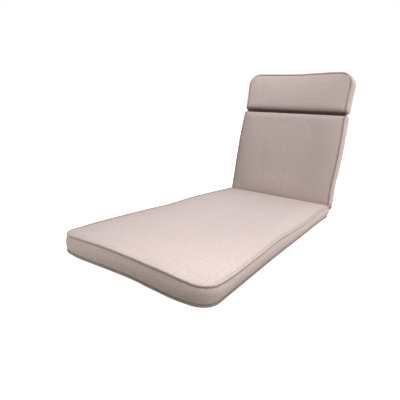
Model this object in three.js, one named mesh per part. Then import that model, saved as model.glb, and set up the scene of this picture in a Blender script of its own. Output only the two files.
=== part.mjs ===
// Cushion for a sun lounger, folded as it is used: a long seat pad lies flat on the floor,
// a back pad stands up from it, leaning a little, and a head pad continues the back.
// Each pad is one filled solid with crowned faces, a bulging side band and drawn-in ends.
// A round piping runs along the seams between the faces and the side band.
// Millimetres. X runs across the cushion, Y from the foot end to the back, and Z up.
// The origin is at floor level under the middle of the whole cushion.
import * as THREE from 'three';

// Driving sizes
const WIDTH = 600;
const THICKNESS = 60;
const SEAT_LENGTH = 1227;
const BACK_LENGTH = 500;
const HEAD_LENGTH = 214;
const RECLINE = THREE.MathUtils.degToRad(9.6);
const PAD_GAP = 0.3;

// Piping: a cord in a sleeve of the cover's own cloth
const PIPING_RADIUS = 3.8;
const PIPING_SIDES = 7;
const PIPING_PROUD = 0.4;
const PIPING_SEAT = (PIPING_RADIUS + PAD_GAP) * Math.SQRT2 - 2 * PIPING_PROUD;
const PIPING_REACH = PIPING_PROUD + PIPING_RADIUS;
const HINGE_PIPING_STOP = 6;

// Corner radii of the pads, seen square on to their faces
const FOOT_CORNER = 52;
const FOOT_LOW_CORNER = 54;
const HINGE_CORNER = 12;
const HINGE_LOW_CORNER = 13;
const HEAD_CORNER = 62;
const SEWN_CORNER = 2;
const ARC_STEPS = 5;

// Crown of the faces, bulge of the side band, and the roll of the faces into a sewn channel
const SEAT_CROWN = 6;
const BACK_CROWN = 7;
const CROWN_REACH = 95;
const SEAT_BULGE = 7;
const BACK_BULGE = 14;
const HEAD_BULGE = 16;
const HINGE_BULGE = 3;
const HEAD_TOP_BULGE = 4;
const CORNER_BULGE_LOSS = 0.2;
const SEAT_END_SLOPE = 2;
const BACK_END_SLOPE = 30;
const BACK_ROLL = 16;
const HEAD_ROLL = 24;

// Sewn web left between the back and the head: what each pad adds to it along and across, and
// how much less the faces are drawn in at the sides, where the side band holds them up
const WEB_LENGTH = 6;
const WEB_HALF = 4;
const WEB_EDGE = 1;
const WEB_SIDE_HOLD = 0.45;
const WEB_SIDE_REACH = 36;

// The underside lies flat, and its seam is lifted so that the piping clears the floor
const UNDERSIDE_LIFT = PIPING_REACH + PAD_GAP;
const UNDERSIDE_REACH = 24;

// Mesh pitch
const FACE_INSET = 28;
const COLUMN_PITCH = 46;
const SEAT_ROW_PITCH = 62;
const BACK_ROW_PITCH = 50;
const MID_RING = 0.42;
const SEWN_ROWS = [3, WEB_LENGTH, 7, 9, 12, 17, 24];
const PIPING_END = SEWN_ROWS[4];
const BAND_LEVELS = [0.18, 0.5, 0.82];

// Unevenness read along each edge. at: place along the edge, by: how far the edge is moved there.
const RIPPLE_REACH = 110;
const SWAY_REACH = 90;
const SEAT_FOOT_RISE = [
  { at: -270, by: 3 },
  { at: -200, by: 8.5 },
  { at: -90, by: 10.5 },
  { at: 30, by: 6.5 },
  { at: 170, by: 7 },
  { at: 270, by: 1 },
];
const SEAT_RIGHT_RISE = [
  { at: 40, by: -1 },
  { at: 100, by: -4.5 },
  { at: 220, by: -3.5 },
  { at: 330, by: -1.5 },
  { at: 470, by: 4.5 },
  { at: 600, by: 0.8 },
  { at: 720, by: -2.3 },
  { at: 850, by: -3.8 },
  { at: 1000, by: 0 },
  { at: 1100, by: 2.5 },
  { at: 1200, by: 1 },
];
const SEAT_LEFT_RISE = [
  { at: 60, by: -2 },
  { at: 180, by: 0.5 },
  { at: 450, by: 0 },
  { at: 590, by: -2.5 },
  { at: 760, by: 2.5 },
  { at: 860, by: 3.5 },
  { at: 1080, by: 1.5 },
  { at: 1180, by: 0 },
];
const SEAT_FOOT_SWAY = [
  { at: -270, by: 1 },
  { at: -200, by: 8 },
  { at: -90, by: 3 },
  { at: 30, by: -2 },
  { at: 120, by: 3 },
  { at: 200, by: 6 },
  { at: 270, by: 0 },
];
const SEAT_LEFT_SWAY = [
  { at: 20, by: -7 },
  { at: 130, by: -2 },
  { at: 480, by: -3 },
  { at: 750, by: 0 },
];
const SEAT_RIGHT_SWAY = [
  { at: 0, by: -1 },
  { at: 250, by: -2 },
  { at: 480, by: -3 },
  { at: 750, by: 0 },
  { at: 1050, by: 2 },
  { at: 1227, by: 6 },
];
const BACK_LEFT_SWAY = [
  { at: 40, by: -4 },
  { at: 200, by: -2 },
  { at: 340, by: -1 },
  { at: 500, by: -8 },
];
const BACK_RIGHT_SWAY = [
  { at: 10, by: 2 },
  { at: 110, by: -1 },
  { at: 240, by: 3 },
  { at: 380, by: 2 },
  { at: 500, by: -3 },
];
const HEAD_LEFT_SWAY = [
  { at: 500, by: -11 },
  { at: 570, by: -10 },
  { at: 640, by: -6 },
  { at: 714, by: -4 },
];
const HEAD_RIGHT_SWAY = [
  { at: 500, by: -5 },
  { at: 600, by: -4 },
  { at: 714, by: -2 },
];
const HEAD_TOP_SWAY = [
  { at: -250, by: 0 },
  { at: 0, by: -3 },
  { at: 120, by: 2 },
  { at: 200, by: 5 },
];

const cloth = {
  seat: new THREE.MeshStandardMaterial({ color: 0xc9bcb4, roughness: 0.95, metalness: 0 }),
  back: new THREE.MeshStandardMaterial({ color: 0xb9aca3, roughness: 0.95, metalness: 0 }),
  piping: new THREE.MeshStandardMaterial({ color: 0xa3968d, roughness: 0.92, metalness: 0 }),
};

// Slope of a short table at a row: that of the line between the rows beside it, level at its ends.
function slopeAt(rows, k) {
  if (k === 0 || k === rows.length - 1) return 0;
  return (rows[k + 1].by - rows[k - 1].by) / (rows[k + 1].at - rows[k - 1].at);
}

// Value of a short table at a place: a cubic through its rows with their slopes, level past its ends.
function readTable(rows, place) {
  const next = rows.findIndex((row) => row.at > place);
  if (next === 0) return rows[0].by;
  if (next < 0) return rows[rows.length - 1].by;
  const low = rows[next - 1];
  const high = rows[next];
  const span = high.at - low.at;
  const t = (place - low.at) / span;
  const left = 1 - t;
  const eased = t * t * (3 - 2 * t);
  const fromLow = slopeAt(rows, next - 1) * t * left * left;
  const fromHigh = slopeAt(rows, next) * t * t * left;
  return THREE.MathUtils.lerp(low.by, high.by, eased) + span * (fromLow - fromHigh);
}

// Rises from 0 at an edge to 1 at the given reach inside it, level there.
function easeIn(distance, reach) {
  const left = 1 - THREE.MathUtils.clamp(distance / reach, 0, 1);
  return 1 - left * left;
}

// Falls from 1 at an edge to 0 at the given reach inside it.
function fadeOut(distance, reach) {
  return 1 - easeIn(distance, reach);
}

// Places from low to high, both included, no further apart than the pitch.
function ladder(low, high, pitch) {
  const steps = Math.max(1, Math.ceil((high - low) / pitch));
  return Array.from({ length: steps + 1 }, (_, k) => THREE.MathUtils.lerp(low, high, k / steps));
}

// Rows of a pad's face from its start to its end: even ones, with close ones at a sewn channel.
function faceRows(pad) {
  const { start, end } = pad;
  const last = SEWN_ROWS[SEWN_ROWS.length - 1];
  const low = start.at + (start.sewn ? last : FACE_INSET);
  const high = end.at - (end.sewn ? last : FACE_INSET);
  const rows = ladder(low, high, pad.rowPitch);
  if (start.sewn) rows.unshift(...SEWN_ROWS.slice(0, -1).map((row) => start.at + row));
  if (end.sewn) rows.push(...SEWN_ROWS.slice(0, -1).reverse().map((row) => end.at - row));
  return rows;
}

// Share of the way to the sewn web that a face has rolled down: a quarter ellipse, 1 on the web.
function rollShare(pad, v) {
  return [pad.start, pad.end].reduce((share, edge) => {
    const inside = Math.abs(v - edge.at) - WEB_LENGTH;
    if (!edge.sewn || inside >= edge.roll) return share;
    const t = Math.min(1, 1 - inside / edge.roll);
    return share + 1 - Math.sqrt(1 - t * t);
  }, 0);
}

// How far a face has rolled down towards the middle of the pad near a sewn channel.
function rollDrop(pad, u, v) {
  const held = WEB_SIDE_HOLD * fadeOut(WIDTH / 2 - Math.abs(u), WEB_SIDE_REACH);
  return rollShare(pad, v) * ((pad.high - pad.low) / 2 - WEB_HALF) * (1 - held);
}

// Height that the uneven edges add to the top seam, fading out over the face.
function ripple(pad, u, v) {
  const half = WIDTH / 2;
  const { rise } = pad;
  if (!rise) return 0;
  return readTable(rise.foot, u) * fadeOut(v - pad.start.at, RIPPLE_REACH)
    + readTable(rise.right, v) * fadeOut(half - u, RIPPLE_REACH)
    + readTable(rise.left, v) * fadeOut(half + u, RIPPLE_REACH);
}

// Moves a point of the outline in the plane of the face by the sways of the edges near it.
function sway(pad, u, v) {
  const side = readTable(u < 0 ? pad.leftSway : pad.rightSway, v) * u / (WIDTH / 2);
  const start = pad.startSway ? readTable(pad.startSway, u) * fadeOut(v - pad.start.at, SWAY_REACH) : 0;
  const end = pad.endSway ? readTable(pad.endSway, u) * fadeOut(pad.end.at - v, SWAY_REACH) : 0;
  return new THREE.Vector2(u + side, v - start + end);
}

// Share of the full crown at a place on a face: none at the sides and boxed ends, nor on the web.
function crownShare(pad, u, v, reach) {
  const start = pad.start.sewn ? 1 : easeIn(v - pad.start.at, reach);
  const end = pad.end.sewn ? 1 : easeIn(pad.end.at - v, reach);
  return easeIn(WIDTH / 2 - Math.abs(u), reach) * start * end * (1 - rollShare(pad, v));
}

// Height of the seam that bounds the top face, and of the one that bounds the underside or rear.
function topSeam(pad, u, v) {
  return pad.high - rollDrop(pad, u, v) + ripple(pad, u, v);
}

function lowSeam(pad, u, v) {
  return pad.low + rollDrop(pad, u, v);
}

function topPoint(pad, u, v) {
  const { x, y } = sway(pad, u, v);
  return new THREE.Vector3(x, y, topSeam(pad, u, v) + pad.crown * crownShare(pad, u, v, CROWN_REACH));
}

function lowPoint(pad, u, v) {
  const { x, y } = sway(pad, u, v);
  return new THREE.Vector3(x, y, lowSeam(pad, u, v) - pad.lowCrown * crownShare(pad, u, v, pad.lowReach));
}

// Stations round the outline, anticlockwise from the left corner of the start edge. Each knows its
// place on the top and the low outline, its outward angle, and the node of the face grid it joins.
function outlineStations(pad, columns, rows) {
  const lastColumn = columns.length - 1;
  const lastRow = rows.length - 1;
  const half = WIDTH / 2;
  const stations = [];
  const straight = (column, row, angle) => {
    const along = Math.abs(Math.sin(angle)) > 0.5;
    const edge = Math.sin(angle) > 0 ? pad.end : pad.start;
    const u = along ? columns[column] : half * Math.cos(angle);
    const top = new THREE.Vector2(u, along ? edge.at : rows[row]);
    const low = new THREE.Vector2(u, along ? edge.lowAt : rows[row]);
    stations.push({ column, row, angle, top, low });
  };
  const corner = (column, row, angle, edge) => {
    const across = column === 0 ? -1 : 1;
    const inward = row === 0 ? 1 : -1;
    for (let k = 0; k <= ARC_STEPS; k += 1) {
      const turned = angle + (Math.PI / 2) * (k / ARC_STEPS);
      const place = (at, radius) => new THREE.Vector2(
        across * (half - radius) + radius * Math.cos(turned),
        at + inward * radius + radius * Math.sin(turned),
      );
      const top = place(edge.at, edge.corner);
      const low = place(edge.lowAt, edge.lowCorner);
      stations.push({ column, row, angle: turned, top, low });
    }
  };
  corner(0, 0, Math.PI, pad.start);
  for (let i = 1; i < lastColumn; i += 1) straight(i, 0, -Math.PI / 2);
  corner(lastColumn, 0, -Math.PI / 2, pad.start);
  for (let j = 1; j < lastRow; j += 1) straight(lastColumn, j, 0);
  corner(lastColumn, lastRow, 0, pad.end);
  for (let i = lastColumn - 1; i > 0; i -= 1) straight(i, lastRow, Math.PI / 2);
  corner(0, lastRow, Math.PI / 2, pad.end);
  for (let j = lastRow - 1; j > 0; j -= 1) straight(0, j, Math.PI);
  return stations;
}

// Grows from 0 at a sewn channel to 1 where the piping ends short of it, and is 1 elsewhere.
function sewnShare(pad, v) {
  const shares = [pad.start, pad.end].map((edge) => (edge.sewn ? Math.abs(v - edge.at) / PIPING_END : 1));
  return Math.min(1, ...shares);
}

// The seam that a face has with the side band: points in order, with the outward direction and
// the direction square to both the seam and it, which points away from the pad.
function seamLine(pad, stations, isTop) {
  const points = stations.map((station) => {
    const { x: u, y: v } = isTop ? station.top : station.low;
    const { x, y } = sway(pad, u, v);
    return new THREE.Vector3(x, y, isTop ? topSeam(pad, u, v) : lowSeam(pad, u, v));
  });
  return stations.map((station, k) => {
    const before = points[(k + points.length - 1) % points.length];
    const after = points[(k + 1) % points.length];
    const along = after.clone().sub(before).normalize();
    const out = new THREE.Vector3(Math.cos(station.angle), Math.sin(station.angle), 0);
    const away = sewnShare(pad, station.top.y) < 1 ? new THREE.Vector3(0, 0, 1) : out.clone().cross(along);
    away.normalize().multiplyScalar(isTop ? 1 : -1);
    return { point: points[k], out, away };
  });
}

// How deep the step for the piping is cut at a station: full, but less in a sewn channel,
// where the piping has ended.
function stepDepth(pad, v) {
  return THREE.MathUtils.lerp(WEB_EDGE, PIPING_SEAT, sewnShare(pad, v));
}

// How far the side band bulges at a station: fully at the sides, by its own measure at an end,
// and less round the corners and where the pad is thin.
function bandBulge(pad, station, height) {
  const thin = Math.sqrt(height / (pad.high - pad.low)) * sewnShare(pad, station.top.y);
  const cornered = 1 - CORNER_BULGE_LOSS * Math.sin(2 * station.angle) ** 2;
  const endBulge = Math.sin(station.angle) > 0 ? pad.end.bulge : pad.start.bulge;
  return THREE.MathUtils.lerp(pad.bulge, endBulge, Math.sin(station.angle) ** 2) * thin * cornered;
}

// One closed pad: face grid, rings over the seams and down the band, and the low face grid.
function padGeometry(pad) {
  const edge = WIDTH / 2 - FACE_INSET;
  const columns = ladder(-edge, edge, COLUMN_PITCH);
  const rows = faceRows(pad);
  const stations = outlineStations(pad, columns, rows);
  const topLine = seamLine(pad, stations, true);
  const lowLine = seamLine(pad, stations, false);
  const positions = [];
  const triangles = [];
  const add = (point) => positions.push(point.x, point.y, point.z) / 3 - 1;
  const gridOf = (pointAt) => rows.map((v) => columns.map((u) => add(pointAt(pad, u, v))));
  const topGrid = gridOf(topPoint);
  const lowGrid = gridOf(lowPoint);

  const midPoint = (station, place, pointAt) => {
    const inner = new THREE.Vector2(columns[station.column], rows[station.row]);
    const { x, y } = place.clone().lerp(inner, MID_RING);
    return pointAt(pad, x, y);
  };
  const rings = [
    stations.map((station) => add(midPoint(station, station.top, topPoint))),
    [],
    [],
    ...BAND_LEVELS.map(() => []),
    [],
    [],
    stations.map((station) => add(midPoint(station, station.low, lowPoint))),
  ];
  stations.forEach((station, k) => {
    const top = topLine[k];
    const low = lowLine[k];
    const step = stepDepth(pad, station.top.y);
    const bandTop = top.point.clone().addScaledVector(top.away, -step);
    const bandLow = low.point.clone().addScaledVector(low.away, -step);
    const bulge = bandBulge(pad, station, top.point.z - low.point.z);
    rings[1].push(add(top.point.clone().addScaledVector(top.out, -step)));
    rings[2].push(add(bandTop));
    BAND_LEVELS.forEach((level, ring) => {
      const point = bandTop.clone().lerp(bandLow, level);
      rings[3 + ring].push(add(point.addScaledVector(top.out, bulge * Math.sin(Math.PI * level))));
    });
    rings[3 + BAND_LEVELS.length].push(add(bandLow));
    rings[4 + BAND_LEVELS.length].push(add(low.point.clone().addScaledVector(low.out, -step)));
  });

  for (let j = 0; j < rows.length - 1; j += 1) {
    for (let i = 0; i < columns.length - 1; i += 1) {
      const [a, b, c, d] = [topGrid[j][i], topGrid[j][i + 1], topGrid[j + 1][i + 1], topGrid[j + 1][i]];
      triangles.push(a, b, c, a, c, d);
      const [e, f, g, h] = [lowGrid[j][i], lowGrid[j][i + 1], lowGrid[j + 1][i + 1], lowGrid[j + 1][i]];
      triangles.push(e, g, f, e, h, g);
    }
  }
  stations.forEach((station, k) => {
    const m = (k + 1) % stations.length;
    const follower = stations[m];
    const turnsCorner = station.column === follower.column && station.row === follower.row;
    const topMid = rings[0];
    const lowMid = rings[rings.length - 1];
    const topNode = topGrid[station.row][station.column];
    const lowNode = lowGrid[station.row][station.column];
    triangles.push(topNode, topMid[k], topMid[m]);
    triangles.push(lowNode, lowMid[m], lowMid[k]);
    if (!turnsCorner) {
      triangles.push(topNode, topMid[m], topGrid[follower.row][follower.column]);
      triangles.push(lowNode, lowGrid[follower.row][follower.column], lowMid[m]);
    }
    for (let ring = 0; ring < rings.length - 1; ring += 1) {
      const upper = rings[ring];
      const lower = rings[ring + 1];
      triangles.push(upper[k], lower[k], lower[m], upper[k], lower[m], upper[m]);
    }
  });
  return { geometry: indexed(positions, triangles), topLine, lowLine, stations };
}

function indexed(positions, triangles) {
  const geometry = new THREE.BufferGeometry();
  geometry.setAttribute('position', new THREE.Float32BufferAttribute(positions, 3));
  geometry.setIndex(triangles);
  geometry.computeVertexNormals();
  return geometry;
}

// A round piping along a seam: a ring of points at each place on it, joined into a tube that is
// either a closed loop or a run with a flat cap at each end.
function pipingGeometry(seam, isLoop) {
  const positions = [];
  const triangles = [];
  seam.forEach(({ point, out, away }) => {
    const centre = point.clone().addScaledVector(out, PIPING_PROUD).addScaledVector(away, PIPING_PROUD);
    for (let side = 0; side < PIPING_SIDES; side += 1) {
      const angle = (2 * Math.PI * side) / PIPING_SIDES;
      const spot = centre.clone()
        .addScaledVector(out, PIPING_RADIUS * Math.cos(angle))
        .addScaledVector(away, PIPING_RADIUS * Math.sin(angle));
      positions.push(spot.x, spot.y, spot.z);
    }
  });
  const spans = isLoop ? seam.length : seam.length - 1;
  const along = seam[1].point.clone().sub(seam[0].point);
  const isRightHanded = seam[0].out.clone().cross(seam[0].away).dot(along) > 0;
  const face = (a, b, c) => triangles.push(...(isRightHanded ? [a, b, c] : [a, c, b]));
  for (let k = 0; k < spans; k += 1) {
    const here = k * PIPING_SIDES;
    const there = ((k + 1) % seam.length) * PIPING_SIDES;
    for (let side = 0; side < PIPING_SIDES; side += 1) {
      const next = (side + 1) % PIPING_SIDES;
      face(here + side, here + next, there + next);
      face(here + side, there + next, there + side);
    }
  }
  if (!isLoop) {
    const last = (seam.length - 1) * PIPING_SIDES;
    for (let side = 1; side < PIPING_SIDES - 1; side += 1) {
      face(0, side + 1, side);
      face(last, last + side, last + side + 1);
    }
  }
  return indexed(positions, triangles);
}

function solid(name, geometry, material) {
  const mesh = new THREE.Mesh(geometry, material);
  mesh.name = name;
  return mesh;
}

// The stretch of a seam whose stations pass a test, in order along the outline.
function seamRun(line, stations, isIncluded) {
  const kept = stations.map((station, k) => (isIncluded(station) ? k : -1));
  const first = kept.findIndex((k, place) => k >= 0 && kept[(place + kept.length - 1) % kept.length] < 0);
  const run = [];
  for (let step = 0; kept[(first + step) % kept.length] >= 0; step += 1) {
    run.push(line[(first + step) % kept.length]);
  }
  return run;
}

const seatSpec = {
  low: UNDERSIDE_LIFT,
  high: THICKNESS,
  crown: SEAT_CROWN,
  lowCrown: UNDERSIDE_LIFT,
  lowReach: UNDERSIDE_REACH,
  bulge: SEAT_BULGE,
  rowPitch: SEAT_ROW_PITCH,
  start: {
    at: 0,
    lowAt: 0,
    corner: FOOT_CORNER,
    lowCorner: FOOT_LOW_CORNER,
    bulge: SEAT_BULGE,
  },
  end: {
    at: SEAT_LENGTH,
    lowAt: SEAT_LENGTH - SEAT_END_SLOPE,
    corner: HINGE_CORNER,
    lowCorner: HINGE_LOW_CORNER,
    bulge: HINGE_BULGE,
  },
  rise: { foot: SEAT_FOOT_RISE, right: SEAT_RIGHT_RISE, left: SEAT_LEFT_RISE },
  leftSway: SEAT_LEFT_SWAY,
  rightSway: SEAT_RIGHT_SWAY,
  startSway: SEAT_FOOT_SWAY,
};

// The ends of the back and head pads that meet in the sewn channel.
function sewnEnd(at, roll) {
  return { at, lowAt: at, corner: SEWN_CORNER, lowCorner: SEWN_CORNER, bulge: 0, sewn: true, roll };
}

const uprightFaces = {
  low: -THICKNESS,
  high: 0,
  crown: BACK_CROWN,
  lowCrown: BACK_CROWN,
  lowReach: CROWN_REACH,
  rowPitch: BACK_ROW_PITCH,
};

const backSpec = {
  ...uprightFaces,
  bulge: BACK_BULGE,
  start: {
    at: 0,
    lowAt: -BACK_END_SLOPE,
    corner: HINGE_CORNER,
    lowCorner: HINGE_LOW_CORNER,
    bulge: HINGE_BULGE,
  },
  end: sewnEnd(BACK_LENGTH - PAD_GAP / 2, BACK_ROLL),
  leftSway: BACK_LEFT_SWAY,
  rightSway: BACK_RIGHT_SWAY,
};

const headSpec = {
  ...uprightFaces,
  bulge: HEAD_BULGE,
  start: sewnEnd(BACK_LENGTH + PAD_GAP / 2, HEAD_ROLL),
  end: {
    at: BACK_LENGTH + HEAD_LENGTH,
    lowAt: BACK_LENGTH + HEAD_LENGTH,
    corner: HEAD_CORNER,
    lowCorner: HEAD_CORNER,
    bulge: HEAD_TOP_BULGE,
  },
  leftSway: HEAD_LEFT_SWAY,
  rightSway: HEAD_RIGHT_SWAY,
  endSway: HEAD_TOP_SWAY,
};

function buildSeat() {
  const pad = padGeometry(seatSpec);
  const group = new THREE.Group();
  group.add(
    solid('seat_pad', pad.geometry, cloth.seat),
    solid('seat_piping_top', pipingGeometry(pad.topLine, true), cloth.piping),
    solid('seat_piping_bottom', pipingGeometry(pad.lowLine, true), cloth.piping),
  );
  return group;
}

function buildBack() {
  const pad = padGeometry(backSpec);
  const upperLimit = BACK_LENGTH - PIPING_END;
  const isSide = (station) => station.top.y > HINGE_PIPING_STOP && station.top.y < upperLimit;
  const left = seamRun(pad.topLine, pad.stations, (station) => isSide(station) && station.top.x < 0);
  const right = seamRun(pad.topLine, pad.stations, (station) => isSide(station) && station.top.x > 0);
  const rear = seamRun(pad.lowLine, pad.stations, (station) => station.low.y < upperLimit);
  const group = new THREE.Group();
  group.add(
    solid('back_pad', pad.geometry, cloth.back),
    solid('back_piping_left', pipingGeometry(left, false), cloth.piping),
    solid('back_piping_right', pipingGeometry(right, false), cloth.piping),
    solid('back_piping_rear', pipingGeometry(rear, false), cloth.piping),
  );
  return group;
}

function buildHead() {
  const pad = padGeometry(headSpec);
  const isPiped = (station) => station.top.y > BACK_LENGTH + PIPING_END;
  const front = seamRun(pad.topLine, pad.stations, isPiped);
  const rear = seamRun(pad.lowLine, pad.stations, isPiped);
  const group = new THREE.Group();
  group.add(
    solid('head_pad', pad.geometry, cloth.back),
    solid('head_piping_front', pipingGeometry(front, false), cloth.piping),
    solid('head_piping_rear', pipingGeometry(rear, false), cloth.piping),
  );
  return group;
}

// The back and the head share a plane that leans back from the seat's upper rear edge. The piping
// on that edge lies in the step of the seat's seam and in the step of the back's lower seam too.
const upright = new THREE.Group();
upright.add(buildBack(), buildHead());
upright.position.set(
  0,
  SEAT_LENGTH + PIPING_PROUD * (1 + Math.sin(RECLINE) + Math.cos(RECLINE)),
  THICKNESS + PIPING_PROUD * (1 + Math.cos(RECLINE) - Math.sin(RECLINE)),
);
upright.rotation.x = Math.PI / 2 - RECLINE;

const cushion = new THREE.Group();
cushion.add(buildSeat(), upright);

// Centre the outline over the origin, with the lowest face on the floor.
cushion.updateMatrixWorld(true);
const bounds = new THREE.Box3().setFromObject(cushion, true);
const centre = bounds.getCenter(new THREE.Vector3());
cushion.position.set(-centre.x, -centre.y, -bounds.min.z);

export default cushion;
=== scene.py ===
"""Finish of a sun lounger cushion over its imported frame.

Three filled pads, for the seat, the back and the head, are worked out as closed surfaces, filled by
a short cloth simulation and dressed in a heathered woven cloth. Runs of piping lie in the seams
between the faces of a pad and its side band. Pads are worked out in millimetres on axes of their
own: u across, v from the start to the end and w square to the faces. They become metres when they
are put in their place.
"""
import logging
import math
from dataclasses import dataclass
from enum import Enum

import bpy
import numpy as np
from mathutils import Matrix, Vector


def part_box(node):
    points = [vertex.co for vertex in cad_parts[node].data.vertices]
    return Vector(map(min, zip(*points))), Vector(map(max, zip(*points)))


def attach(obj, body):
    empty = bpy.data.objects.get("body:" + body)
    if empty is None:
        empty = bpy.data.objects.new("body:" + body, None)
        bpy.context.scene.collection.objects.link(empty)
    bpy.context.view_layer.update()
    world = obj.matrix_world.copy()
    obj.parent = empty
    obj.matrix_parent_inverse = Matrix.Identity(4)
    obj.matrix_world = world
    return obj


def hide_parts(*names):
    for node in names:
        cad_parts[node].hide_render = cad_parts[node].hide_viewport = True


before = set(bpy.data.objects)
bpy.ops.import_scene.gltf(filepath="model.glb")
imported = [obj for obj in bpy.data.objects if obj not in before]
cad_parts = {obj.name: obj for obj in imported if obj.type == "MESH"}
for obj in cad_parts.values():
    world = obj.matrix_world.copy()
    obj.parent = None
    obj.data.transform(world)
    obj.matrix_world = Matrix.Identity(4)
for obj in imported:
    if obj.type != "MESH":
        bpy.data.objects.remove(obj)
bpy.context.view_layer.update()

Array = np.ndarray
Socket = bpy.types.NodeSocket
Colour = tuple[float, float, float]

log = logging.getLogger("cushion")

BODY = "root"
METRES = 0.001

# Driving sizes, in millimetres
WIDTH = 600.0
HALF = WIDTH / 2.0
THICKNESS = 60.0
SEAT_LENGTH = 1227.0
BACK_LENGTH = 500.0
HEAD_LENGTH = 214.0
RECLINE = math.radians(9.6)
PAD_GAP = 0.3

# Piping, and the tuck of the panels beside it, of which a share is left at a sewn channel
PIPING_RADIUS = 3.8
PIPING_PROUD = 0.4
PIPING_REACH = PIPING_RADIUS + PIPING_PROUD
TUCK = 3.6
LIP = 1.2
TUCK_FLOOR = 2.9
CHANNEL_TUCK = 0.25

# Sewn channel: how near to it the piping ends, and the web left in it along and across the pad.
# At the sides the band holds the faces up, so that they are drawn in less there.
PIPING_END = 12.0
PIPING_TURN = 6.0
WEB_LENGTH = 6.0
WEB_HALF = 4.0
WEB_SIDE_HOLD = 0.45
WEB_SIDE_REACH = 36.0
HINGE_PIPING_STOP = 6.0

# First angle round a cord: straight into the pad, between the inward and the downward direction
INWARD_ANGLE = 1.25 * math.pi

# Reaches of the crown, the puffed edge, the ripples and the sways
CROWN_REACH = 95.0
PUFF_REACH = 17.0
UNDERSIDE_LIFT = PIPING_REACH + PAD_GAP
UNDERSIDE_REACH = 24.0
RIPPLE_REACH = 110.0
SWAY_REACH = 90.0

# Side band: the power of the sine that its bulge follows, and the share of it lost at a corner
BULGE_POWER = 0.8
CORNER_BULGE_LOSS = 0.2

# Fold in the side band under a corner: how its bulge grows and shifts up, and how far it reaches
FOLD_GROWTH = 0.2
FOLD_LIFT = 0.35
FOLD_REACH = 60.0

# Steps of a pad's mesh
BOXED_INSETS = (0.0, 6.5, 10.0, 15.0, 22.0, 31.0)
SEWN_INSETS = (0.0, 0.6, 3.0, 5.0, 6.0, 6.5, 7.4, 9.0, 11.5, 15.0, 20.0, 26.0, 33.0)
BAND_LEVELS = (0.1, 0.24, 0.41, 0.59, 0.76, 0.9)
PIPING_END_STOPS = (0.0, 0.4, 1.2, 2.4, 4.0, 6.5, 9.5)

# How firmly the rings of the side band are held while the pad is filled, from the top tuck to the
# low one, and how far from a seam or a channel a face is held
BAND_HOLD = (1.0, 1.0, 0.85, 0.5, 0.35, 0.35, 0.5, 0.85, 1.0, 1.0)
SEAM_HOLD_REACH = 34.0
CHANNEL_HOLD_REACH = 20.0

# The weave map, and the numbers stored for each vertex, among them the painted shade of the cloth
WEAVE_MAP = "weave"
PAINTED_SHADE = "painted_shade"
SEAM_GAP = "seam_gap"
PANEL = "panel"


def ease_in(distance: Array, reach: float) -> Array:
    """Rises from 0 at an edge to 1 at the reach inside it: 1 less the square of the share left."""
    left = 1.0 - np.clip(distance / reach, 0.0, 1.0)
    return 1.0 - left * left


def fade_out(distance: Array, reach: float) -> Array:
    """Falls from 1 at an edge to 0 at the reach inside it."""
    return 1.0 - ease_in(distance, reach)


def smooth_step(value: Array, low: float, high: float) -> Array:
    """Eases from 0 at low to 1 at high as 3t^2 - 2t^3."""
    t = np.clip((value - low) / (high - low), 0.0, 1.0)
    return t * t * (3.0 - 2.0 * t)


def unit(vectors: Array) -> Array:
    """Vectors scaled to length 1."""
    return vectors / np.linalg.norm(vectors, axis=-1, keepdims=True)


def uneven_wave(place: Array, lengths: tuple[float, ...], seed: int) -> Array:
    """Irregular wave between about -1 and 1.

    It is the mean of sines of the given lengths, each with a seeded phase and each swelling and
    fading slowly along the way.

    Args:
        place: Places along the wave.
        lengths: Wave lengths, in the unit of place.
        seed: Seed of the phases.

    Returns:
        The wave's height at each place.
    """
    chance = np.random.default_rng(seed)
    swell_length = 3.7
    steady = 0.6
    total = np.zeros_like(place)
    for length in lengths:
        phase, swell = chance.uniform(0.0, 2.0 * math.pi, 2)
        turn = 2.0 * math.pi * place / length
        swelling = steady + (1.0 - steady) * np.sin(turn / swell_length + swell)
        total += np.sin(turn + phase) * swelling
    return total / len(lengths)


class Side(Enum):
    """A face of a pad: the top or front one, or the underside or rear one."""

    TOP = 1.0
    LOW = -1.0


@dataclass(frozen=True)
class EdgeTable:
    """Unevenness along an edge: how far it is moved (by) at places along it (at)."""

    at: tuple[float, ...]
    by: tuple[float, ...]

    def read(self, place: Array) -> Array:
        """Move at each place, level past the ends of the table.

        Between two rows it is a cubic. Its slope at a row is that of the line between the rows
        beside it, and 0 at the first and the last one.

        Args:
            place: Places along the edge.

        Returns:
            How far the edge is moved there.
        """
        at = np.asarray(self.at, float)
        by = np.asarray(self.by, float)
        slope = np.zeros(len(at))
        slope[1:-1] = (by[2:] - by[:-2]) / (at[2:] - at[:-2])
        row = np.clip(np.searchsorted(at, place, side="right"), 1, len(at) - 1)
        span = at[row] - at[row - 1]
        t = np.clip((place - at[row - 1]) / span, 0.0, 1.0)
        left = 1.0 - t
        eased = by[row - 1] + (by[row] - by[row - 1]) * t * t * (3.0 - 2.0 * t)
        return eased + span * (slope[row - 1] * t * left * left - slope[row] * t * t * left)


LEVEL = EdgeTable(at=(0.0, 1.0), by=(0.0, 0.0))


@dataclass(frozen=True)
class PadEnd:
    """An end of a pad: its place on the two faces, its corners, and its bulge or its roll."""

    at: float
    low_at: float
    corner: float
    low_corner: float
    bulge: float
    roll: float = 0.0

    @property
    def is_sewn(self) -> bool:
        """True where the pad ends in a sewn channel, into which its faces roll."""
        return self.roll > 0.0

    def insets(self) -> tuple[float, ...]:
        """Distances of the mesh's first rows from this end."""
        return SEWN_INSETS if self.is_sewn else BOXED_INSETS

    @classmethod
    def sewn(cls, at: float, roll: float) -> "PadEnd":
        """An end in a sewn channel, which is square and has no bulge."""
        return cls(at=at, low_at=at, corner=2.0, low_corner=2.0, bulge=0.0, roll=roll)


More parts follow.
